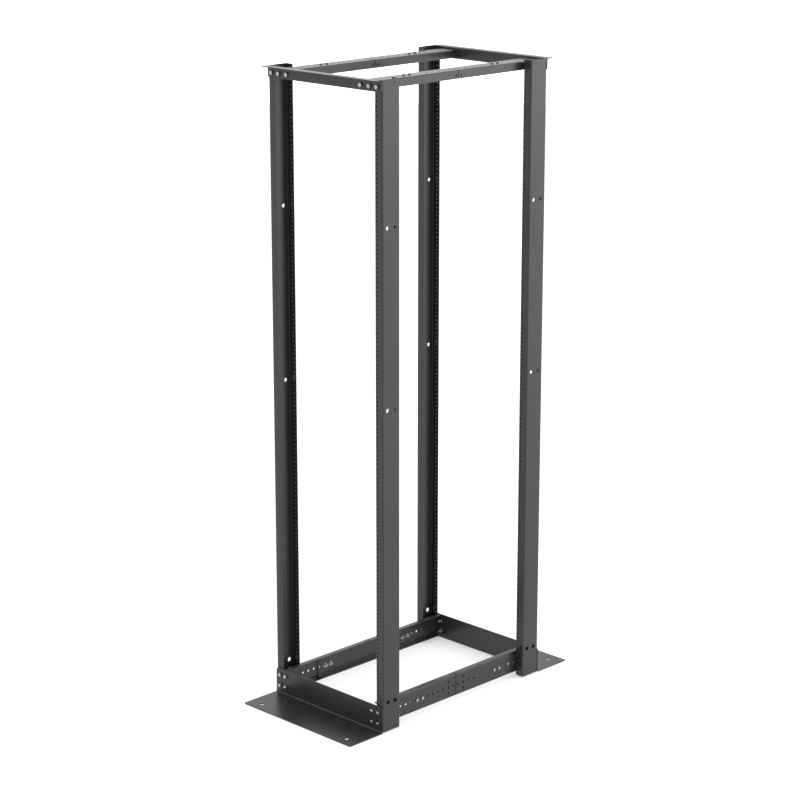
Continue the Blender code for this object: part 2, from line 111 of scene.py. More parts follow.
# Heights and radii of the pairs of holes in a post's web, and of the small hole near its top.
WEB_HOLES = ((0.1026, 0.0075), (1.092, 0.0064), (1.677, 0.0064))
TOP_PILOT_HOLE = (2.1239, 0.0022)
BOLT_HOLE_RADIUS = 0.0046
ANCHOR_HOLE_X = 0.2054
ANCHOR_HOLE_REACH = 0.1175
ANCHOR_HOLE_RADIUS = 0.008
ANCHOR_HOLE_SIDES = 28
HOLE_PITCH = 0.0254
FIRST_HOLE = 0.0113
RAIL_HOLE_COUNT = 12
RAIL_HOLE_RADIUS = 0.0042
TRIPLE_HOLE_RISE = 0.0215
RAIL_FLANGE_HOLE_X = 0.2115
RAIL_FLANGE_HOLE_RADIUS = 0.003
RAIL_END_HOLE = 0.031
TOP_HOLE_COUNT = 14
TOP_HOLE_RADIUS = 0.0034
TOP_SCREW_STATIONS = (7, 8)
TOP_SIDE_HOLE_DROP = 0.017
TOP_SIDE_HOLE_RADIUS = 0.0042
SEAM_RELIEF = 0.0006
# Hole numbers in the splice's front half, where y is below 0, and in its rear half.
SPLICE_HOLE_STATIONS = {-1: (6, 7, 8), 1: (4, 5, 6, 7, 8, 9)}
SPLICE_HOLE_INSET = 0.010
SPLICE_HOLE_RISE = 0.0195
SPLICE_HOLE_RADIUS = 0.002

# Corner cuts.
POST_CORNER_CUT = 0.005
BASE_CORNER_CUT = 0.008
PLATE_CORNER_CUT = 0.004
TOP_CORNER_CUT = 0.004
TAB_CORNER_CUT = 0.003

# Hex bolts: width across flats, head and nut heights, and the radii of the face under the head,
# of the nut's flange and of the thread.
CORNER_BOLT = {
    "flats": 0.0130, "head": 0.0060, "nut": 0.0068,
    "face": 0.0066, "flange": 0.0078, "thread": 0.0040,
}
SPLICE_BOLT = {
    "flats": 0.0100, "head": 0.0042, "nut": 0.0060,
    "face": 0.0051, "flange": 0.0078, "thread": 0.0030,
}
ROUND = 36
WASHER_FACE = 0.0005
NUT_GAP = 0.0003
# A hexagon's round end face as a share of its flats, and the angle at which its corners fall away.
HEX_FACE_SHARE = 0.96
HEX_CHAMFER_ANGLE = 30
# The nut's flange. Heights are shares of the nut's: where its cone meets the hexagon's sides, where
# the hexagon starts, and the top of its rim. Then its rim's rounding, and its face's share of the
# flange's radius.
FLANGE_CONE_SHARE = 0.26
FLANGE_HEX_SHARE = 0.12
FLANGE_RIM_SHARE = 0.11
FLANGE_ROUNDING = 0.0003
FLANGE_FACE_SHARE = 0.97
# Threads: radii at the tip, above the tip's chamfer and in the grooves as shares of the thread's,
# and the chamfer's height in pitches.
THREAD_TIP_SHARE = 0.72
THREAD_CHAMFER_SHARE = 0.97
THREAD_GROOVE_SHARE = 0.87
THREAD_CHAMFER_PITCHES = 0.6
BOLT_PITCH = 0.00125
BOLT_THREAD_SIDES = 24
BOLT_THREAD_OVERLAP = 0.0005
BOLT_SHANK_TOP = 0.001
BOLT_TIP_SHARE = 0.9
# Turns of the heads about their own axes, in degrees, so that no two corners look alike.
CORNER_TURN_STEP = 17
CORNER_TURN_START = {1: 7, -1: 41}
SPLICE_TURN_STEP = 23
SPLICE_TURN_END = 11

# Socket screws.
SCREW_HEAD_RADIUS = 0.0058
SCREW_HEAD_HEIGHT = 0.0029
SCREW_HEAD_RIM = 0.0004
SCREW_DOME_STEPS = 6
SCREW_DOME_SHARE = 0.86
SCREW_SOCKET_FLATS = 0.004872
SCREW_SOCKET_DEPTH = 0.001595
SCREW_THREAD_RADIUS = 0.0030
SCREW_THREAD_SIDES = 20
SCREW_THREAD_OVERLAP = 0.0004
SCREW_SHANK_TOP = 0.0005
SCREW_PITCH = 0.001
SCREW_NUT_FLATS = 0.0095
SCREW_NUT_HEIGHT = 0.0045
SCREW_TIP = 0.0025

# Finishes.
COAT_DARK = (0.0125, 0.0125, 0.0130)
COAT_LIGHT = (0.0175, 0.0175, 0.0180)
COAT_FLECK = (0.040, 0.040, 0.041)
COAT_DUST = (0.045, 0.044, 0.042)
ZINC_COOL = (0.37, 0.385, 0.40)
ZINC_WARM = (0.42, 0.405, 0.36)
ZINC_DULL = (0.25, 0.25, 0.25)
OXIDE_DARK = (0.012, 0.012, 0.014)
OXIDE_LIGHT = (0.035, 0.033, 0.032)
WHITE = (1.0, 1.0, 1.0)
COAT_ROUGHNESS = (0.27, 0.38)
COAT_SPECULAR = 0.46
ZINC_ROUGHNESS = (0.14, 0.26)
OXIDE_ROUGHNESS = (0.26, 0.44)
OXIDE_METALLIC = 0.4
# Dust lies where a normal's Z is over the first number. The others are the most it covers of such a
# face, its thinnest and thickest patches, and how much rougher it makes the coat.
DUST_FACING = 0.8
DUST_COVER = 0.14
DUST_PATCHES = (0.35, 0.70)
DUST_ROUGHNESS = 0.12

# Camera, floor and light.
CAMERA_PLACE = (5.3102, -5.3924, 3.0872)
CAMERA_PITCH = 15.357
CAMERA_YAW = 44.787
CAMERA_LENS = 105.7
CAMERA_SENSOR = 36.0
FLOOR_RADIUS = 14.0
FLOOR_SIDES = 64
FLOOR_DROP = 0.001
FLOOR_TONE = (0.62, 0.62, 0.62)
FLOOR_GLOW = 0.46
FLOOR_ROUGHNESS = 0.9
FLOOR_SPECULAR = 0.2
SKY_STRENGTH = 1.17
# The brighter band of the studio: its strength, the heights and the side-on shares between which it
# fades, and the side that it is on.
BAND_STRENGTH = 2.1
BAND_RISE = (0.10, 0.24)
BAND_WIDTH = (0.35, 0.85)
BAND_SIDE = (-0.7, 0.7, 0.0)
KEY_PLACE = (4.7, 4.4, 2.8)
KEY_TARGET = (1.0, 1.0, 0.0)
KEY_SIZE = (7.0, 5.0)
KEY_WATTS = 260.0


def centre_of(node):
    low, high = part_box(node)
    return [(low[i] + high[i]) / 2 for i in range(3)]


# Folded sheets.


def station(k):
    """How far hole k of a rail half is from the seam."""
    return FIRST_HOLE + k * HOLE_PITCH


def ring(s, v, radius, sides=HOLE_SIDES):
    """A hole's outline as corners of a polygon."""
    angles = [2 * math.pi * (k + 0.5) / sides for k in range(sides)]
    return [(s + radius * math.cos(a), v + radius * math.sin(a)) for a in angles]


def bend_path(start, heading, flats, radius):
    """Stations of a folded strip's outer face: distance along it, point, and normal into the sheet.

    The strip turns left by 90 degrees after each flat but the last. Heading is in degrees.
    """
    stations, distance, point, angle = [], 0.0, Vector(start), math.radians(heading)

    def left():
        return Vector((-math.sin(angle), math.cos(angle)))

    for index, flat in enumerate(flats):
        stations.append((distance, point.copy(), left()))
        distance += flat
        point = point + flat * Vector((math.cos(angle), math.sin(angle)))
        stations.append((distance, point.copy(), left()))
        if index == len(flats) - 1:
            break
        centre = point + radius * left()
        for step in range(BEND_STEPS):
            angle += math.pi / 2 / BEND_STEPS
            distance += radius * math.pi / 2 / BEND_STEPS
            point = centre - radius * left()
            if step < BEND_STEPS - 1:
                stations.append((distance, point.copy(), left()))
    return stations


def cut_corners(s_low, s_high, v_low, v_high, cuts):
    """A panel's outline. cuts maps a corner, such as (0, 1) for low s and high v, to its cut."""
    outline = []
    corners = ((0, 0), (1, 0), (1, 1), (0, 1))
    for corner, toward in zip(corners, corners[1:] + corners[:1]):
        s, v = (s_low, s_high)[corner[0]], (v_low, v_high)[corner[1]]
        cut = cuts.get(corner, 0.0)
        if not cut:
            outline.append((s, v))
            continue
        inward_s, inward_v = cut * (1 - 2 * corner[0]), cut * (1 - 2 * corner[1])
        arrive, leave = (s, v + inward_v), (s + inward_s, v)
        outline += [arrive, leave] if toward[0] != corner[0] else [leave, arrive]
    return outline


def split_sides(outline, levels):
    """The outline with its long sides split at the levels, so that no triangle is a long sliver."""
    points = []
    for (s0, v0), (s1, v1) in zip(outline, outline[1:] + outline[:1]):
        points.append((s0, v0))
        if s0 == s1:
            low, high = min(v0, v1) + LEVEL_GAP, max(v0, v1) - LEVEL_GAP
            between = [v for v in levels if low < v < high]
            points += [(s0, v) for v in sorted(between, reverse=v1 < v0)]
    return points


def triangulate(outline, holes):
    """A flat panel's points, its triangles, and the numbers of the points on its convex holes."""
    loops = [outline, *holes]
    points = [point for loop in loops for point in loop]
    loop_of = [number for number, loop in enumerate(loops) for _ in loop]
    edges = []
    for loop in loops:
        first = len(edges)
        edges += [(first + k, first + (k + 1) % len(loop)) for k in range(len(loop))]
    found = delaunay_2d_cdt([Vector(point) for point in points], edges, [], 1, TRIANGLE_GAP)
    # The found points are rounded, so each triangle goes back to the points that it was given.
    source = [sources[0] for sources in found[3]]
    faces = [[source[k] for k in face] for face in found[2]]
    # A triangle with all its corners on one hole lies inside that hole.
    faces = [face for face in faces if len({loop_of[k] for k in face}) > 1 or loop_of[face[0]] == 0]
    return points, faces, [k for k, number in enumerate(loop_of) if number]


class FoldedSheet:
    """A flat pattern of panels and bends in (s, v), which becomes a solid sheet when folded."""

    def __init__(self, stations, v_low, v_high):
        self.stations, self.v_low, self.v_high = stations, v_low, v_high
        self.index, self.points, self.faces = {}, [], []
        self.hole_points = set()
        count = math.ceil((v_high - v_low) / LEVEL_STEP)
        self.levels = [v_low + (v_high - v_low) * k / count for k in range(count + 1)]

    def vertex(self, s, v):
        """The number of the pattern's point here, made if there is none."""
        key = (round(s, PATTERN_DIGITS), round(v, PATTERN_DIGITS))
        if key not in self.index:
            self.index[key] = len(self.points)
            self.points.append(key)
        return self.index[key]

    def add_panel(self, number, holes=(), cuts=None):
        """Fills flat number 0, 1, 2... with its holes, whose s starts at that flat."""
        low = self.stations[number * (BEND_STEPS + 1)][0]
        high = self.stations[number * (BEND_STEPS + 1) + 1][0]
        outline = cut_corners(low, high, self.v_low, self.v_high, cuts or {})
        outline = split_sides(outline, self.levels)
        holes = [[(low + s, v) for s, v in hole] for hole in holes]
        points, faces, on_holes = triangulate(outline, holes)
        self.faces += [[self.vertex(*points[k]) for k in face] for face in faces]
        self.hole_points |= {self.vertex(*points[k]) for k in on_holes}

    def add_bends(self, count):
        """Fills the bends between the flats, with one row of quads for each level."""
        for bend in range(count):
            first = bend * (BEND_STEPS + 1) + 1
            for k in range(first, first + BEND_STEPS):
                low, high = self.stations[k][0], self.stations[k + 1][0]
                for v0, v1 in zip(self.levels, self.levels[1:]):
                    corners = ((low, v0), (high, v0), (high, v1), (low, v1))
                    self.faces.append([self.vertex(*c) for c in corners])

    def folded(self, s, depth):
        """The profile point at s, this deep in the sheet."""
        for (s0, p0, n0), (s1, p1, n1) in zip(self.stations, self.stations[1:]):
            if s <= s1 + PATTERN_GAP:
                share = (s - s0) / (s1 - s0)
                return p0.lerp(p1, share) + depth * n0.lerp(n1, share)
        raise ValueError("the point lies past the strip's end")

    def add_to(self, whole, wall, place):
        """Adds the folded solid to whole. place turns a profile point and v into X, Y and Z."""
        bm = new_sheet_bmesh()
        weight = bm.edges.layers.float.get("bevel_weight_edge")
        outer = [bm.verts.new(place(self.folded(s, 0.0), v)) for s, v in self.points]
        inner = [bm.verts.new(place(self.folded(s, wall), v)) for s, v in self.points]
        used = {}
        for face in self.faces:
            bm.faces.new([outer[k] for k in face])
            bm.faces.new([inner[k] for k in reversed(face)])
            for a, b in zip(face, face[1:] + face[:1]):
                used.setdefault((min(a, b), max(a, b)), []).append((a, b))
        for sides in used.values():
            if len(sides) > 1:
                continue
            a, b = sides[0]
            bm.faces.new([outer[b], outer[a], inner[a], inner[b]])
            if not {a, b} <= self.hole_points:
                for layer in (outer, inner):
                    bm.edges.get((layer[a], layer[b]))[weight] = 1.0
        merge(whole, bm)


def new_sheet_bmesh():
    """An empty bmesh that can say which edges the bevel rounds."""
    bm = bmesh.new()
    bm.edges.layers.float.new("bevel_weight_edge")
    return bm


def faced_out(bm):
    """The bmesh with its faces turned outwards."""
    if bm.calc_volume(signed=True) < 0:
        bmesh.ops.reverse_faces(bm, faces=bm.faces)
    return bm


def merge(whole, shell):
    """Adds a closed shell to whole, with its faces turned outwards."""
    mesh = bpy.data.meshes.new("shell")
    faced_out(shell).to_mesh(mesh)
    shell.free()
    whole.from_mesh(mesh)
    bpy.data.meshes.remove(mesh)


def equipment_rows():
    """Heights of the equipment holes."""
    return [FIRST_UNIT + unit * UNIT + rise for unit in range(UNIT_COUNT) for rise in UNIT_HOLES]


def add_hole_rings(bm, profile):
    """Adds a closed ring in each equipment hole of both flanges.

    The profile is (radius, depth) pairs, with depth measured inwards from the flange's outer face.
    """
    x = POST_LOW[0] + EQUIPMENT_HOLE_INSET
    for z in equipment_rows():
        for face, inwards in ((POST_LOW[1], 1), (POST_HIGH[1], -1)):
            loops = []
            for radius, depth in profile:
                corners = ring(x, z, radius, SMALL_HOLE_SIDES)
                y = face + inwards * depth
                loops.append([bm.verts.new((px, y, pz)) for px, pz in corners])
            for low, high in zip(loops, loops[1:] + loops[:1]):
                for k in range(SMALL_HOLE_SIDES):
                    nxt = (k + 1) % SMALL_HOLE_SIDES
                    quad = (low[k], low[nxt], high[nxt], high[k])
                    bm.faces.new(quad if inwards > 0 else tuple(reversed(quad)))


def add_collars(whole):
    """The drawn collar behind each equipment hole, inside the post's two flanges."""
    bm = new_sheet_bmesh()
    end = POST_WALL + COLLAR_DEPTH
    add_hole_rings(bm, [(EQUIPMENT_HOLE_RADIUS, POST_WALL), (EQUIPMENT_HOLE_RADIUS, end),
                        (COLLAR_TIP_RADIUS, end), (COLLAR_ROOT_RADIUS, POST_WALL)])
    merge(whole, bm)


def thread_and_shade_lining_bmesh():
    """The thin threaded lining of every equipment hole, set just below the flange's face. Its dark
    steel is partly the bare tapped thread and partly painted shade inside the hole.
    """
    bm = bmesh.new()
    inner, outer = EQUIPMENT_HOLE_RADIUS - THREAD_LINING, EQUIPMENT_HOLE_RADIUS + THREAD_LINING
    end = POST_WALL + COLLAR_DEPTH - THREAD_LINING
    add_hole_rings(bm, [(inner, THREAD_RECESS), (inner, end), (outer, end), (outer, THREAD_RECESS)])
    return bm


def post_bmesh():
    bm = new_sheet_bmesh()
    flat = POST_HIGH[0] - POST_LOW[0] - BEND_RADIUS
    web = POST_HIGH[1] - POST_LOW[1] - 2 * BEND_RADIUS
    path = bend_path((POST_LOW[0], POST_LOW[1]), 0, (flat, web, flat), BEND_RADIUS)
    sheet = FoldedSheet(path, POST_LOW[2], POST_HIGH[2])
    holes = [ring(web / 2 + k * WEB_HOLE_OFFSET, z, r, WEB_HOLE_SIDES)
             for z, r in WEB_HOLES for k in (-1, 1)]
    holes.append(ring(web / 2 + WEB_HOLE_OFFSET, *TOP_PILOT_HOLE, SMALL_HOLE_SIDES))
    sheet.add_panel(1, holes)
    bolts = [centre_of(f"base_bolt_front_right_{n}") for n in (3, 4)]
    bolts.append(centre_of("top_bolt_front_right_3"))
    # The first flange starts at its free edge, and the last one ends there.
    for number, edge, inset in ((0, 0, lambda d: d), (2, 1, lambda d: flat - d)):
        holes = [ring(inset(x - POST_LOW[0]), z, BOLT_HOLE_RADIUS) for x, _, z in bolts]
        s = inset(EQUIPMENT_HOLE_INSET)
        holes += [ring(s, z, EQUIPMENT_HOLE_RADIUS, SMALL_HOLE_SIDES) for z in equipment_rows()]
        sheet.add_panel(number, holes, {(edge, 0): POST_CORNER_CUT})
    sheet.add_bends(2)
    sheet.add_to(bm, POST_WALL, lambda p, v: (p.x, p.y, v))
    add_collars(bm)
    return bm


def base_angle_bmesh():
    bm = new_sheet_bmesh()
    plate = BASE_HIGH[1] - BASE_LOW[1] - BASE_BEND_RADIUS
    leg = BASE_HIGH[2] - BASE_BEND_RADIUS
    path = bend_path((BASE_LOW[1], 0.0), 0, (plate, leg), BASE_BEND_RADIUS)
    sheet = FoldedSheet(path, -HALF_WIDTH, HALF_WIDTH)
    anchor = FRONT - ANCHOR_HOLE_REACH - BASE_LOW[1]
    holes = [ring(anchor, side * ANCHOR_HOLE_X, ANCHOR_HOLE_RADIUS, ANCHOR_HOLE_SIDES)
             for side in (-1, 1)]
    sheet.add_panel(0, holes, {(0, 0): PLATE_CORNER_CUT, (0, 1): PLATE_CORNER_CUT})
    bolts = [centre_of(f"base_bolt_front_{side}_{n}") for _, side in SIDES for n in (1, 2, 3, 4)]
    holes = [ring(z - BASE_BEND_RADIUS, x, BOLT_HOLE_RADIUS) for x, _, z in bolts]
    sheet.add_panel(1, holes, {(1, 0): BASE_CORNER_CUT, (1, 1): BASE_CORNER_CUT})
    sheet.add_bends(1)
    sheet.add_to(bm, BASE_WALL, lambda p, v: (v, p.x, p.y))
    return bm


def top_angle_bmesh():
    bm = new_sheet_bmesh()
    leg = TOP_HIGH[2] - TOP_LOW[2] - BEND_RADIUS
    ledge = TOP_HIGH[1] - TOP_LOW[1] - BEND_RADIUS
    path = bend_path((TOP_HIGH[1], TOP_LOW[2]), 90, (leg, ledge), BEND_RADIUS)
    sheet = FoldedSheet(path, -HALF_WIDTH, HALF_WIDTH)
    bolts = [centre_of(f"top_bolt_front_{side}_{n}") for _, side in SIDES for n in (1, 2, 3)]
    holes = [ring(z - TOP_LOW[2], x, BOLT_HOLE_RADIUS) for x, _, z in bolts]
    sheet.add_panel(0, holes, {(0, 0): TOP_CORNER_CUT, (0, 1): TOP_CORNER_CUT})
    sheet.add_panel(1, (), {(1, 0): TOP_CORNER_CUT, (1, 1): TOP_CORNER_CUT})
    sheet.add_bends(1)
    sheet.add_to(bm, TOP_WALL, lambda p, v: (v, p.x, p.y))
    return bm


def channel_sheet(face, edge, low, high, y_low, y_high):
    """A channel along Y that opens inwards: bottom flange, web on x = face, top flange."""
    flats = (face - edge - BEND_RADIUS, high - low - 2 * BEND_RADIUS, face - edge - BEND_RADIUS)
    return FoldedSheet(bend_path((edge, low), 0, flats, BEND_RADIUS), y_low, y_high)


def bottom_rail_bmesh():
    bm = new_sheet_bmesh()
    face, low, high, seam = RAIL_HIGH[0], RAIL_LOW[2], RAIL_HIGH[2], RAIL_HIGH[1]
    start = FRONT + BEND_RADIUS + TAB_STUB
    sheet = channel_sheet(face, face - RAIL_FLANGE, low, high, start, seam - SEAM_RELIEF)
    middle = (high - low) / 2 - BEND_RADIUS
    holes = [ring(middle, -station(k), RAIL_HOLE_RADIUS) for k in range(RAIL_HOLE_COUNT)]
    holes += [ring(middle + rise, -station(1), RAIL_HOLE_RADIUS)
              for rise in (-TRIPLE_HOLE_RISE, TRIPLE_HOLE_RISE)]
    sheet.add_panel(1, holes)
    inset, flat = RAIL_FLANGE_HOLE_X - (face - RAIL_FLANGE), RAIL_FLANGE - BEND_RADIUS
    sheet.add_panel(2, [ring(flat - inset, -station(0), RAIL_FLANGE_HOLE_RADIUS)])
    sheet.add_panel(0, [ring(inset, FRONT + RAIL_END_HOLE, RAIL_FLANGE_HOLE_RADIUS)])
    sheet.add_bends(2)
    sheet.add_to(bm, POST_WALL, lambda p, v: (p.x, v, p.y))
    # The tab turns inwards from the web's end.
    edge = RAIL_LOW[0]
    path = bend_path((edge, FRONT), 0, (face - edge - BEND_RADIUS, TAB_STUB), BEND_RADIUS)
    tab = FoldedSheet(path, low + BEND_RADIUS, high - BEND_RADIUS)
    bolts = [centre_of(f"base_bolt_front_right_{n}") for n in (1, 2)]
    tab.add_panel(0, [ring(x - edge, z, BOLT_HOLE_RADIUS) for x, _, z in bolts],
                  {(0, 0): TAB_CORNER_CUT, (0, 1): TAB_CORNER_CUT})
    tab.add_panel(1)
    tab.add_bends(1)
    tab.add_to(bm, POST_WALL, lambda p, v: (p.x, p.y, v))
    return bm


def top_rail_bmesh():
    bm = new_sheet_bmesh()
    low, high = TOP_RAIL_LOW, TOP_RAIL_HIGH
    sides, across = high[2] - low[2] - BEND_RADIUS, high[0] - low[0] - 2 * BEND_RADIUS
    path = bend_path((high[0], low[2]), 90, (sides, across, sides), BEND_RADIUS)
    start = FRONT + BEND_RADIUS + TAB_STUB
    sheet = FoldedSheet(path, start, high[1] - SEAM_RELIEF)
    holes = [ring(across / 2, -station(k), TOP_HOLE_RADIUS) for k in range(TOP_HOLE_COUNT)]
    sheet.add_panel(1, holes)
    rise = high[2] - TOP_SIDE_HOLE_DROP - low[2]
    sheet.add_panel(0, [ring(rise, -station(0), TOP_SIDE_HOLE_RADIUS)])
    sheet.add_panel(2, [ring(sides - rise, -station(0), TOP_SIDE_HOLE_RADIUS)])
    sheet.add_bends(2)
    sheet.add_to(bm, TOP_RAIL_WALL, lambda p, v: (p.x, v, p.y))
    # The tab turns down from the top's end.
    start = (-FRONT, low[2] + TAB_GAP)
    path = bend_path(start, 90, (sides - TAB_GAP, TAB_STUB), BEND_RADIUS)
    tab = FoldedSheet(path, low[0] + BEND_RADIUS, high[0] - BEND_RADIUS)
    bolts = [centre_of(f"top_bolt_front_right_{n}") for n in (1, 2)]
    tab.add_panel(0, [ring(z - path[0][1].y, x, BOLT_HOLE_RADIUS) for x, _, z in bolts],
                  {(0, 0): TAB_CORNER_CUT, (0, 1): TAB_CORNER_CUT})
    tab.add_panel(1)
    tab.add_bends(1)
    tab.add_to(bm, TOP_RAIL_WALL, lambda p, v: (v, -p.x, p.y))
    return bm


def bottom_splice_bmesh():
    bm = new_sheet_bmesh()
    low, high = SPLICE_LOW, SPLICE_HIGH
    sheet = channel_sheet(high[0], low[0], low[2], high[2], low[1], high[1])
    middle = (high[2] - low[2]) / 2 - BEND_RADIUS
    holes = [ring(middle, end * station(k), RAIL_HOLE_RADIUS)
             for end in (-1, 1) for k in SPLICE_HOLE_STATIONS[end]]
    holes += [ring(middle + rise, y, SPLICE_HOLE_RADIUS, SMALL_HOLE_SIDES)
              for y in (low[1] + SPLICE_HOLE_INSET, high[1] - SPLICE_HOLE_INSET)
              for rise in (-SPLICE_HOLE_RISE, SPLICE_HOLE_RISE)]
    sheet.add_panel(1, holes)
    sheet.add_panel(0)
    sheet.add_panel(2)
    sheet.add_bends(2)
    sheet.add_to(bm, POST_WALL, lambda p, v: (p.x, v, p.y))
    return bm


def top_splice_bmesh():
    bm = new_sheet_bmesh()
    low, high = TOP_SPLICE_LOW, TOP_SPLICE_HIGH
    sides, across = high[2] - low[2] - BEND_RADIUS, high[0] - low[0] - 2 * BEND_RADIUS
    path = bend_path((high[0], low[2]), 90, (sides, across, sides), BEND_RADIUS)
    sheet = FoldedSheet(path, low[1], high[1])
    sheet.add_panel(1, [ring(across / 2, end * station(k), TOP_HOLE_RADIUS)
                        for end in (-1, 1) for k in TOP_SCREW_STATIONS])
    sheet.add_panel(0)
    sheet.add_panel(2)
    sheet.add_bends(2)
    sheet.add_to(bm, TOP_RAIL_WALL, lambda p, v: (p.x, v, p.y))
    return bm


# Fasteners, made with z = 0 on the outer sheet's face and +z pointing out of it.


def round_angles(count):
    return [2 * math.pi * k / count for k in range(count)]


ROUND_ANGLES = round_angles(ROUND)


def hex_radius(angle, flats):
    """How far a hexagon's side is from its axis at this angle."""
    turn = (angle + math.pi / 6) % (math.pi / 3) - math.pi / 6
    return flats / 2 / math.cos(turn)


def add_hex(bm, flats, z_low, z_high, chamfer_high=True):
    """A hexagon whose corners are turned off at its ends, which leaves a round face."""
    face_radius = flats / 2 * HEX_FACE_SHARE
    slope = math.tan(math.radians(HEX_CHAMFER_ANGLE))

    def outline(z, back):
        """The hexagon's sides at z, with the corners moved back by their chamfer."""
        points = []
        for a in ROUND_ANGLES:
            r = hex_radius(a, flats)
            drop = (r - face_radius) * slope
            points.append(bm.verts.new((r * math.cos(a), r * math.sin(a), z + back * drop)))
        return points

    loops = [circle(bm, face_radius, z_low, ROUND_ANGLES), outline(z_low, 1)]
    if chamfer_high:
        loops += [outline(z_high, -1), circle(bm, face_radius, z_high, ROUND_ANGLES)]
    else:
        loops.append(outline(z_high, 0))
    skin_loops(bm, loops)


def circle(bm, radius, z, angles):
    """Points at these angles on a circle about the fastener's axis."""
    return [bm.verts.new((radius * math.cos(a), radius * math.sin(a), z)) for a in angles]


def skin_loops(bm, loops):
    """Quads between rings of points that run upwards, with both ends closed."""
    count = len(loops[0])
    for low, high in zip(loops, loops[1:]):
        for k in range(count):
            nxt = (k + 1) % count
            bm.faces.new((low[k], low[nxt], high[nxt], high[k]))
    bm.faces.new(tuple(reversed(loops[0])))
    bm.faces.new(tuple(loops[-1]))


def add_turned(bm, profile, sides=ROUND):
    """A turned solid from (radius, z) pairs that run upwards."""
    angles = round_angles(sides)
    skin_loops(bm, [circle(bm, r, z, angles) for r, z in profile])


def thread_profile(radius, low, high, pitch):
    """A threaded end as even grooves, with a chamfered tip at the low end."""
    profile = [(radius * THREAD_TIP_SHARE, low),
               (radius * THREAD_CHAMFER_SHARE, low + pitch * THREAD_CHAMFER_PITCHES)]
    turns = int((high - low) / pitch) - 1
    for k in range(1, turns):
        z = low + k * pitch
        profile += [(radius, z), (radius * THREAD_GROOVE_SHARE, z + pitch / 2)]
    return profile + [(radius, high)]


def hex_bolt_bmesh(sizes, grip):
    """A hex bolt, its flanged nut, and the thread that stands out of the nut."""
    bm = bmesh.new()
    flats, nut, flange, thread = (sizes[key] for key in ("flats", "nut", "flange", "thread"))
    add_turned(bm, [(sizes["face"], 0.0), (sizes["face"], WASHER_FACE)])
    add_hex(bm, flats, WASHER_FACE, sizes["head"])
    nut_face = -grip
    foot = nut_face - nut
    add_turned(bm, [(flats / 2, nut_face - nut * FLANGE_CONE_SHARE),
                    (flange, nut_face - nut * FLANGE_RIM_SHARE),
                    (flange, nut_face - FLANGE_ROUNDING), (flange * FLANGE_FACE_SHARE, nut_face)])
    add_hex(bm, flats, foot, nut_face - nut * FLANGE_HEX_SHARE, chamfer_high=False)
    tip, root = foot - BOLT_TIP_SHARE * thread, foot + BOLT_THREAD_OVERLAP
    profile = thread_profile(thread, tip, root, BOLT_PITCH)
    add_turned(bm, profile + [(thread, BOLT_SHANK_TOP)], BOLT_THREAD_SIDES)
    return bm


def button_screw_bmesh(grip):
    """A domed screw head with a hex socket, its shank and a nut."""
    bm = bmesh.new()
    profile = [(SCREW_HEAD_RADIUS, 0.0)]
    for k in range(SCREW_DOME_STEPS + 1):
        a = math.pi / 2 * SCREW_DOME_SHARE * k / SCREW_DOME_STEPS
        z = SCREW_HEAD_RIM + (SCREW_HEAD_HEIGHT - SCREW_HEAD_RIM) * math.sin(a)
        profile.append((SCREW_HEAD_RADIUS * math.cos(a), z))
    loops = [circle(bm, r, z, ROUND_ANGLES) for r, z in profile]
    top = profile[-1][1]
    for z in (top, top - SCREW_SOCKET_DEPTH):
        radii = [hex_radius(a, SCREW_SOCKET_FLATS) for a in ROUND_ANGLES]
        loops.append([bm.verts.new((r * math.cos(a), r * math.sin(a), z))
                      for r, a in zip(radii, ROUND_ANGLES)])
    skin_loops(bm, loops)
    foot = -grip - SCREW_NUT_HEIGHT
    add_hex(bm, SCREW_NUT_FLATS, foot, -grip, chamfer_high=False)
    tip, root = foot - SCREW_TIP, foot + SCREW_THREAD_OVERLAP
    profile = thread_profile(SCREW_THREAD_RADIUS, tip, root, SCREW_PITCH)
    add_turned(bm, profile + [(SCREW_THREAD_RADIUS, SCREW_SHANK_TOP)], SCREW_THREAD_SIDES)
    return bm


# Objects.


def mesh_from(bm, name, material, side=1, end=1):
    """Closes bm into a mesh, mirrored to the left side or the rear end where they are -1."""
    for vert in bm.verts:
        vert.co.x *= side
        vert.co.y *= end
    mesh = bpy.data.meshes.new(name)
    faced_out(bm).to_mesh(mesh)
    bm.free()
    mesh.shade_smooth()
    mesh.set_sharp_from_angle(angle=math.radians(SHARP_ANGLE))
    mesh.materials.append(material)
    return mesh


def new_piece(name, mesh):
    piece = bpy.data.objects.new(name, mesh)
    bpy.context.scene.collection.objects.link(piece)
    return piece


def stand_for(piece, node):
    """The piece replaces a CAD node and rides on its body."""
    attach(piece, BODY_OF[node])
    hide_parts(node)


def round_edges(piece):
    """Rounds the sheet's cut outline and keeps its flats flat in shading."""
    bevel = piece.modifiers.new("edges", "BEVEL")
    bevel.width = EDGE_ROUNDING
    bevel.segments = EDGE_SEGMENTS
    bevel.limit_method = "WEIGHT"
    bevel.use_clamp_overlap = False
    normals = piece.modifiers.new("normals", "WEIGHTED_NORMAL")
    normals.keep_sharp = True
    normals.weight = FLAT_WEIGHT


def add_sheet(node, bm, material, side=1, end=1):
    """One folded sheet in place of its CAD node."""
    name = node + "_sheet"
    piece = new_piece(name, mesh_from(bm, name, material, side, end))
    round_edges(piece)
    stand_for(piece, node)


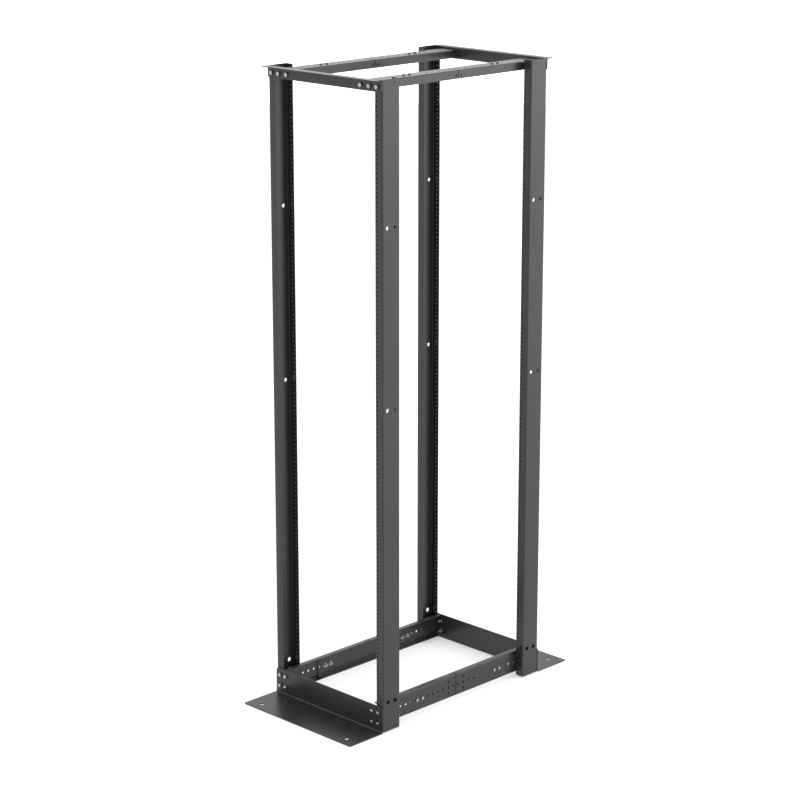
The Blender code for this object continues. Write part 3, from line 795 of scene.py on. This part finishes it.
def add_sheets(material):
    """Every folded sheet of the rack."""
    for side, side_name in SIDES:
        for end, end_name in ENDS:
            add_sheet(f"post_{end_name}_{side_name}", post_bmesh(), material, side, end)
            rail = f"rail_{side_name}_{end_name}"
            add_sheet(f"bottom_{rail}", bottom_rail_bmesh(), material, side, end)
            add_sheet(f"top_{rail}", top_rail_bmesh(), material, side, end)
        add_sheet(f"bottom_splice_{side_name}", bottom_splice_bmesh(), material, side)
        add_sheet(f"top_splice_{side_name}", top_splice_bmesh(), material, side)
    for end, end_name in ENDS:
        add_sheet(f"base_angle_{end_name}", base_angle_bmesh(), material, 1, end)
        add_sheet(f"top_angle_{end_name}", top_angle_bmesh(), material, 1, end)


def add_thread_and_shade_linings(material):
    """The threaded linings of the equipment holes, which the CAD model doesn't have. Their dark
    finish is partly bare tapped steel and partly painted shade inside the holes.
    """
    for side, side_name in SIDES:
        for end, end_name in ENDS:
            node = f"post_{end_name}_{side_name}"
            name = node + "_thread_and_shade_linings"
            piece = new_piece(name, mesh_from(thread_and_shade_lining_bmesh(), name, material, side, end))
            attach(piece, BODY_OF[node])


def aim(piece, outwards, up, degrees):
    """Points a fastener's head outwards and turns it about its own axis."""
    turn = Quaternion((0, 0, 1), math.radians(degrees))
    piece.rotation_mode = "QUATERNION"
    piece.rotation_quaternion = Vector(outwards).to_track_quat("Z", up) @ turn


def add_corner_bolts(material):
    """The hex bolts that hold the base angles and the top angles."""
    kinds = (("base_bolt", 4, BASE_WALL, BASE_HIGH[1] - BASE_WALL),
             ("top_bolt", 3, TOP_WALL, TOP_HIGH[1] - TOP_WALL))
    for kind, count, wall, face in kinds:
        bm = hex_bolt_bmesh(CORNER_BOLT, wall + POST_WALL + NUT_GAP)
        mesh = mesh_from(bm, kind, material)
        for end, end_name in ENDS:
            for _, side_name in SIDES:
                for number in range(1, count + 1):
                    node = f"{kind}_{end_name}_{side_name}_{number}"
                    x, _, z = centre_of(node)
                    piece = new_piece(node + "_set", mesh)
                    piece.location = (x, end * face, z)
                    turn = CORNER_TURN_STEP * number + CORNER_TURN_START[end]
                    aim(piece, (0, -end, 0), "X", turn)
                    stand_for(piece, node)


def add_splice_bolts(zinc, oxide):
    """The bolts of the bottom splices, and two socket screws in each half of a top rail."""
    bolt = mesh_from(hex_bolt_bmesh(SPLICE_BOLT, 2 * POST_WALL + NUT_GAP), "splice_bolt", zinc)
    screw = mesh_from(button_screw_bmesh(2 * TOP_RAIL_WALL + NUT_GAP), "top_screw", oxide)
    for side, side_name in SIDES:
        for end, end_name in ENDS:
            for number in (1, 2):
                node = f"splice_bolt_{side_name}_{end_name}_{number}"
                _, y, z = centre_of(node)
                piece = new_piece(node + "_set", bolt)
                piece.location = (side * RAIL_HIGH[0], y, z)
                aim(piece, (side, 0, 0), "Y", SPLICE_TURN_STEP * number + SPLICE_TURN_END * end)
                stand_for(piece, node)
            node = f"top_splice_screw_{side_name}_{end_name}"
            x, y, _ = centre_of(node)
            first = new_piece(node + "_set", screw)
            first.location = (x, y, TOP_RAIL_HIGH[2])
            stand_for(first, node)
            second = new_piece(node + "_outer_set", screw)
            second.location = (x, y - end * HOLE_PITCH, TOP_RAIL_HIGH[2])
            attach(second, BODY_OF[node])


# Materials.


def new_material(name):
    material = bpy.data.materials.new(name)
    material.use_nodes = True
    tree = material.node_tree
    return material, tree, tree.nodes["Principled BSDF"]


def object_coordinates(tree):
    return tree.nodes.new("ShaderNodeTexCoord").outputs["Object"]


def noise(tree, source, scale, detail=2.0, roughness=0.5):
    node = tree.nodes.new("ShaderNodeTexNoise")
    node.inputs["Scale"].default_value = scale
    node.inputs["Detail"].default_value = detail
    node.inputs["Roughness"].default_value = roughness
    tree.links.new(source, node.inputs["Vector"])
    return node.outputs["Fac"]


def remap(tree, value, low, high, from_low=0.0, from_high=1.0):
    """The value, moved from its own range to the range from low to high and clamped to it."""
    node = tree.nodes.new("ShaderNodeMapRange")
    numbers = {"From Min": from_low, "From Max": from_high, "To Min": low, "To Max": high}
    for socket, number in numbers.items():
        node.inputs[socket].default_value = number
    tree.links.new(value, node.inputs["Value"])
    return node.outputs["Result"]


def maths(tree, operation, *values):
    node = tree.nodes.new("ShaderNodeMath")
    node.operation = operation
    for socket, value in zip(node.inputs, values):
        if isinstance(value, (int, float)):
            socket.default_value = value
        else:
            tree.links.new(value, socket)
    return node.outputs[0]


def mix_colour(tree, factor, dark, light):
    """A blend of two colours, each a tuple or a socket."""
    node = tree.nodes.new("ShaderNodeMix")
    node.data_type = "RGBA"
    tree.links.new(factor, node.inputs[0])
    for socket, colour in ((node.inputs[6], dark), (node.inputs[7], light)):
        if isinstance(colour, tuple):
            socket.default_value = (*colour, 1.0)
        else:
            tree.links.new(colour, socket)
    return node.outputs[2]


def bump(tree, shader, *layers):
    """Stacks (height, strength, distance) layers of bump on the shader."""
    normal = None
    for height, strength, distance in layers:
        node = tree.nodes.new("ShaderNodeBump")
        node.inputs["Strength"].default_value = strength
        node.inputs["Distance"].default_value = distance
        tree.links.new(height, node.inputs["Height"])
        if normal is not None:
            tree.links.new(normal, node.inputs["Normal"])
        normal = node.outputs["Normal"]
    tree.links.new(normal, shader.inputs["Normal"])


def powder_coat():
    """Black powder coat: a dark film with a fine orange peel, slightly dusty where it faces up."""
    material, tree, shader = new_material("black_powder_coat")
    coords = object_coordinates(tree)
    broad = noise(tree, coords, scale=5.0, detail=3.0)
    fine = noise(tree, coords, scale=1400.0, roughness=0.6)
    peel = noise(tree, coords, scale=480.0, roughness=0.45)
    specks = noise(tree, coords, scale=2600.0, detail=1.0)
    patches = noise(tree, coords, scale=22.0, detail=4.0, roughness=0.6)
    base = mix_colour(tree, broad, COAT_DARK, COAT_LIGHT)
    few_specks = remap(tree, specks, 0.0, 1.0, from_low=0.62, from_high=0.80)
    flecked = mix_colour(tree, few_specks, base, COAT_FLECK)
    facing = tree.nodes.new("ShaderNodeSeparateXYZ")
    tree.links.new(tree.nodes.new("ShaderNodeNewGeometry").outputs["Normal"], facing.inputs[0])
    facing_up = remap(tree, facing.outputs["Z"], 0.0, DUST_COVER, from_low=DUST_FACING)
    dust = maths(tree, "MULTIPLY", facing_up, remap(tree, patches, 0.0, 1.0, *DUST_PATCHES))
    colour = mix_colour(tree, dust, flecked, COAT_DUST)
    tree.links.new(colour, shader.inputs["Base Color"])
    unevenness = maths(tree, "ADD", broad, maths(tree, "MULTIPLY", fine, 0.5))
    gloss = remap(tree, unevenness, *COAT_ROUGHNESS, from_low=0.3, from_high=1.2)
    roughness = maths(tree, "ADD", gloss, maths(tree, "MULTIPLY", dust, DUST_ROUGHNESS))
    tree.links.new(roughness, shader.inputs["Roughness"])
    shader.inputs["Specular IOR Level"].default_value = COAT_SPECULAR
    bump(tree, shader, (peel, 0.30, 0.00012), (fine, 0.20, 0.00004))
    return material


def zinc_plate():
    """Bright zinc with a faint cool and warm passivation, duller in patches."""
    material, tree, shader = new_material("zinc_steel")
    coords = object_coordinates(tree)
    patches = noise(tree, coords, scale=160.0, detail=3.0)
    tint = noise(tree, coords, scale=60.0, detail=1.0)
    scratch = noise(tree, coords, scale=2200.0)
    warmth = remap(tree, tint, 0.0, 1.0, from_low=0.35, from_high=0.65)
    dullness = remap(tree, patches, 0.0, 0.5, from_low=0.4, from_high=0.8)
    colour = mix_colour(tree, dullness, mix_colour(tree, warmth, ZINC_COOL, ZINC_WARM), ZINC_DULL)
    tree.links.new(colour, shader.inputs["Base Color"])
    shader.inputs["Metallic"].default_value = 1.0
    tree.links.new(remap(tree, patches, *ZINC_ROUGHNESS), shader.inputs["Roughness"])
    bump(tree, shader, (scratch, 0.08, 0.00003))
    return material


def black_oxide():
    """Oiled black oxide on steel."""
    material, tree, shader = new_material("black_oxide_steel")
    coords = object_coordinates(tree)
    patches = noise(tree, coords, scale=220.0, detail=3.0)
    colour = mix_colour(tree, patches, OXIDE_DARK, OXIDE_LIGHT)
    tree.links.new(colour, shader.inputs["Base Color"])
    shader.inputs["Metallic"].default_value = OXIDE_METALLIC
    tree.links.new(remap(tree, patches, *OXIDE_ROUGHNESS), shader.inputs["Roughness"])
    bump(tree, shader, (noise(tree, coords, scale=1800.0), 0.15, 0.00004))
    return material


# Camera, floor and light.


def add_camera():
    data = bpy.data.cameras.new("camera")
    data.lens = CAMERA_LENS
    data.sensor_width = CAMERA_SENSOR
    camera = bpy.data.objects.new("camera", data)
    camera.location = CAMERA_PLACE
    camera.rotation_euler = (math.radians(90 - CAMERA_PITCH), 0, math.radians(CAMERA_YAW))
    bpy.context.scene.collection.objects.link(camera)
    bpy.context.scene.camera = camera


def add_floor():
    bm = bmesh.new()
    bmesh.ops.create_circle(bm, cap_ends=True, segments=FLOOR_SIDES, radius=FLOOR_RADIUS)
    material, _, shader = new_material("studio_floor")
    shader.inputs["Base Color"].default_value = (*FLOOR_TONE, 1.0)
    shader.inputs["Roughness"].default_value = FLOOR_ROUGHNESS
    shader.inputs["Specular IOR Level"].default_value = FLOOR_SPECULAR
    shader.inputs["Emission Color"].default_value = (*WHITE, 1.0)
    shader.inputs["Emission Strength"].default_value = FLOOR_GLOW
    mesh = bpy.data.meshes.new("floor")
    bm.to_mesh(mesh)
    bm.free()
    mesh.materials.append(material)
    floor = bpy.data.objects.new("floor", mesh)
    floor.location.z = -FLOOR_DROP
    bpy.context.scene.collection.objects.link(floor)


def add_softbox(name, place, target, size, watts):
    data = bpy.data.lights.new(name, "AREA")
    data.shape = "RECTANGLE"
    data.size, data.size_y = size
    data.energy = watts
    lamp = bpy.data.objects.new(name, data)
    lamp.location = place
    lamp.visible_camera = False
    lamp.rotation_mode = "QUATERNION"
    lamp.rotation_quaternion = (Vector(place) - Vector(target)).to_track_quat("Z", "Y")
    bpy.context.scene.collection.objects.link(lamp)


def add_light():
    """A white studio, brighter in a low band on the rack's far side, and one broad softbox."""
    world = bpy.data.worlds.new("studio")
    world.use_nodes = True
    tree = world.node_tree
    direction = tree.nodes.new("ShaderNodeSeparateXYZ")
    outwards = tree.nodes.new("ShaderNodeTexCoord").outputs["Generated"]
    tree.links.new(outwards, direction.inputs[0])
    toward = tree.nodes.new("ShaderNodeVectorMath")
    toward.operation = "DOT_PRODUCT"
    toward.inputs[1].default_value = BAND_SIDE
    tree.links.new(outwards, toward.inputs[0])
    background = tree.nodes["Background"]
    background.inputs["Color"].default_value = (*WHITE, 1.0)
    low_down = remap(tree, direction.outputs["Z"], 1.0, 0.0, *BAND_RISE)
    behind = remap(tree, toward.outputs["Value"], 0.0, 1.0, *BAND_WIDTH)
    share = maths(tree, "MULTIPLY", low_down, behind)
    tree.links.new(remap(tree, share, SKY_STRENGTH, BAND_STRENGTH), background.inputs["Strength"])
    bpy.context.scene.world = world
    add_softbox("key", KEY_PLACE, KEY_TARGET, KEY_SIZE, KEY_WATTS)
    bpy.context.scene.view_settings.view_transform = "Standard"


def main():
    add_camera()
    add_floor()
    add_light()
    coat = powder_coat()
    zinc = zinc_plate()
    oxide = black_oxide()
    add_sheets(coat)
    # The equipment holes get dark linings: bare tapped steel, and painted shade inside the holes.
    add_thread_and_shade_linings(oxide)
    add_corner_bolts(zinc)
    add_splice_bolts(zinc, oxide)


main()
